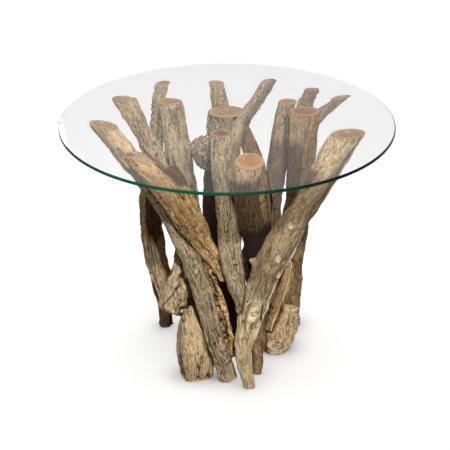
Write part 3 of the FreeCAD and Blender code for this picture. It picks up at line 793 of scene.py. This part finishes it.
# The ground edge looks deep green.  It is painted darker toward the right and the far left, as painted
# shade where less light enters the disc behind it.  From inside the glass it is clear.
glass_edge = bpy.data.materials.new("polished glass edge")
glass_edge.use_nodes = True
tree = glass_edge.node_tree
tree.nodes.clear()
place = add(tree, "ShaderNodeTexCoord").outputs["Object"]
across = add(tree, "ShaderNodeSeparateXYZ", {0: place}).outputs["X"]
ripple = add(tree, "ShaderNodeTexNoise", {"Vector": place, "Scale": 1 / (40 * mm)}).outputs[0]
edge_green_and_painted_shade = painted(tree, linear("#015437"), [
    (ripple, 0.35, 0.65, 0.5, linear("#02462b")),
    (across, -0.10, 0.22, 1.0, linear("#010604")),
    (across, -0.20, -0.29, 0.9, linear("#010604")),
])
edge = {"Base Color": edge_green_and_painted_shade, "Roughness": 0.3, "IOR": 1.52, "Specular IOR Level": 0.08}
edge = add(tree, "ShaderNodeBsdfPrincipled", edge)
clear = add(tree, "ShaderNodeBsdfTransparent")
from_inside = add(tree, "ShaderNodeNewGeometry").outputs["Backfacing"]
one_sided = add(tree, "ShaderNodeMixShader", {0: from_inside, 1: edge, 2: clear})
add(tree, "ShaderNodeOutputMaterial", {"Surface": one_sided})

round_top = bpy.data.objects.new("round_glass_top", glass_disc())
bpy.context.scene.collection.objects.link(round_top)
round_top.data.materials.append(float_glass)
round_top.data.materials.append(glass_edge)
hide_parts("glass_top")
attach(round_top, "glass")


# The floor is a sweep of white paper that fills the view.  It shows white, less the shade of the table.
# A broad soft lamp overhead lights the paper alone.
floor_half = 9.0
floor_mesh = bpy.data.meshes.new("floor")
corners = [(-1, -1, 0), (1, -1, 0), (1, 1, 0), (-1, 1, 0)]
floor_mesh.from_pydata([(x * floor_half, y * floor_half, z) for x, y, z in corners], [], [(0, 1, 2, 3)])
floor = bpy.data.objects.new("floor", floor_mesh)
bpy.context.scene.collection.objects.link(floor)


def shown(tree):
    """1 for a ray that shows what it meets: one from the camera, off a mirror or through glass."""
    ray = add(tree, "ShaderNodeLightPath").outputs
    either = {0: ray["Is Camera Ray"], 1: ray["Is Glossy Ray"]}
    either = add(tree, "ShaderNodeMath", either, operation="MAXIMUM")
    return add(tree, "ShaderNodeMath", {0: either, 1: ray["Is Transmission Ray"]}, operation="MAXIMUM")


# Painted shade: the paper's own glow fades within a few centimetres of what stands on it, as the light
# there does.
white_paper = bpy.data.materials.new("white paper")
white_paper.use_nodes = True
tree = white_paper.node_tree
tree.nodes.clear()
open_paper = add(tree, "ShaderNodeAmbientOcclusion", {"Distance": 45 * mm}).outputs["AO"]
glow = {"Value": open_paper, "From Min": 0.2, "From Max": 1.0, "To Min": 0.1, "To Max": 0.53}
glow = add(tree, "ShaderNodeMapRange", glow)
paper_glow = add(tree, "ShaderNodeEmission", {"Color": (1, 1, 1, 1), "Strength": glow})
paper_shade = add(tree, "ShaderNodeBsdfDiffuse", {"Color": (0.9, 0.9, 0.9, 1)})
paper = add(tree, "ShaderNodeAddShader", {0: paper_glow, 1: paper_shade})
paper_bounce = add(tree, "ShaderNodeBsdfDiffuse", {"Color": (0.25, 0.25, 0.25, 1)})
paper = add(tree, "ShaderNodeMixShader", {0: shown(tree), 1: paper_bounce, 2: paper})
add(tree, "ShaderNodeOutputMaterial", {"Surface": paper})
floor_mesh.materials.append(white_paper)

# The room is a plain white studio.  In what the glass mirrors it is white at the horizon and dimmer
# above, and on the wood it is a low, even light.
studio = bpy.data.worlds.new("studio")
bpy.context.scene.world = studio
studio.use_nodes = True
tree = studio.node_tree
tree.nodes.clear()
ray_up = add(tree, "ShaderNodeSeparateXYZ", {0: add(tree, "ShaderNodeTexCoord").outputs["Generated"]})
rise = [math.sin(math.radians(angle)) for angle in (7, 17)]
mirrored = {"From Min": rise[0], "From Max": rise[1], "To Min": 1.0, "To Max": 0.35}
mirrored["Value"] = ray_up.outputs["Z"]
mirrored = add(tree, "ShaderNodeMapRange", mirrored, interpolation_type="SMOOTHSTEP")
brightness = {"Factor": shown(tree), "A": 0.11, "B": mirrored}
brightness = add(tree, "ShaderNodeMix", brightness, data_type="FLOAT")
even_light = add(tree, "ShaderNodeBackground", {"Color": (1, 1, 1, 1), "Strength": brightness})
add(tree, "ShaderNodeOutputWorld", {"Surface": even_light})

# The main lamp stands in front, half way up, and a weaker one stands behind the table for its rear; both
# light the table alone.  The broad one overhead lights the paper alone and shines through the glass.
past_glass = bpy.data.collections.new("all but the glass")
past_glass.objects.link(round_top)
past_glass.collection_objects[0].light_linking.link_state = "EXCLUDE"
lamps = {
    "main lamp": (4.2, 2, 43, 8, "EXCLUDE"),
    "rear lamp": (1.8, 25, 24, 200, "EXCLUDE"),
    "overhead lamp": (1.4, 60, 90, 0, "INCLUDE"),
}
for lamp_name, (strength, breadth, height_angle, side_angle, floor_state) in lamps.items():
    lamp = bpy.data.objects.new(lamp_name, bpy.data.lights.new(lamp_name, "SUN"))
    bpy.context.scene.collection.objects.link(lamp)
    lamp.data.energy = strength
    lamp.data.angle = math.radians(breadth)
    lamp.rotation_euler = (math.radians(90 - height_angle), 0, math.radians(side_angle))
    lit = bpy.data.collections.new(lamp_name + " and the floor")
    lit.objects.link(floor)
    lit.collection_objects[0].light_linking.link_state = floor_state
    lamp.light_linking.receiver_collection = lit
    if floor_state == "INCLUDE":
        lamp.light_linking.blocker_collection = past_glass

# The camera stands 2.6 m in front of the table at eye height and looks down on it.
# Its long lens fills the picture with the table from there.
camera_dip = 26.447
camera = bpy.data.objects.new("camera", bpy.data.cameras.new("camera"))
bpy.context.scene.collection.objects.link(camera)
camera.data.sensor_width = 36.0
camera.data.lens = 123.73
camera.location = (-3.87 * mm, -2600 * mm, 1562.94 * mm)
camera.rotation_euler = (math.radians(90 - camera_dip), 0, 0)
bpy.context.scene.camera = camera
bpy.context.scene.view_settings.view_transform = "Standard"
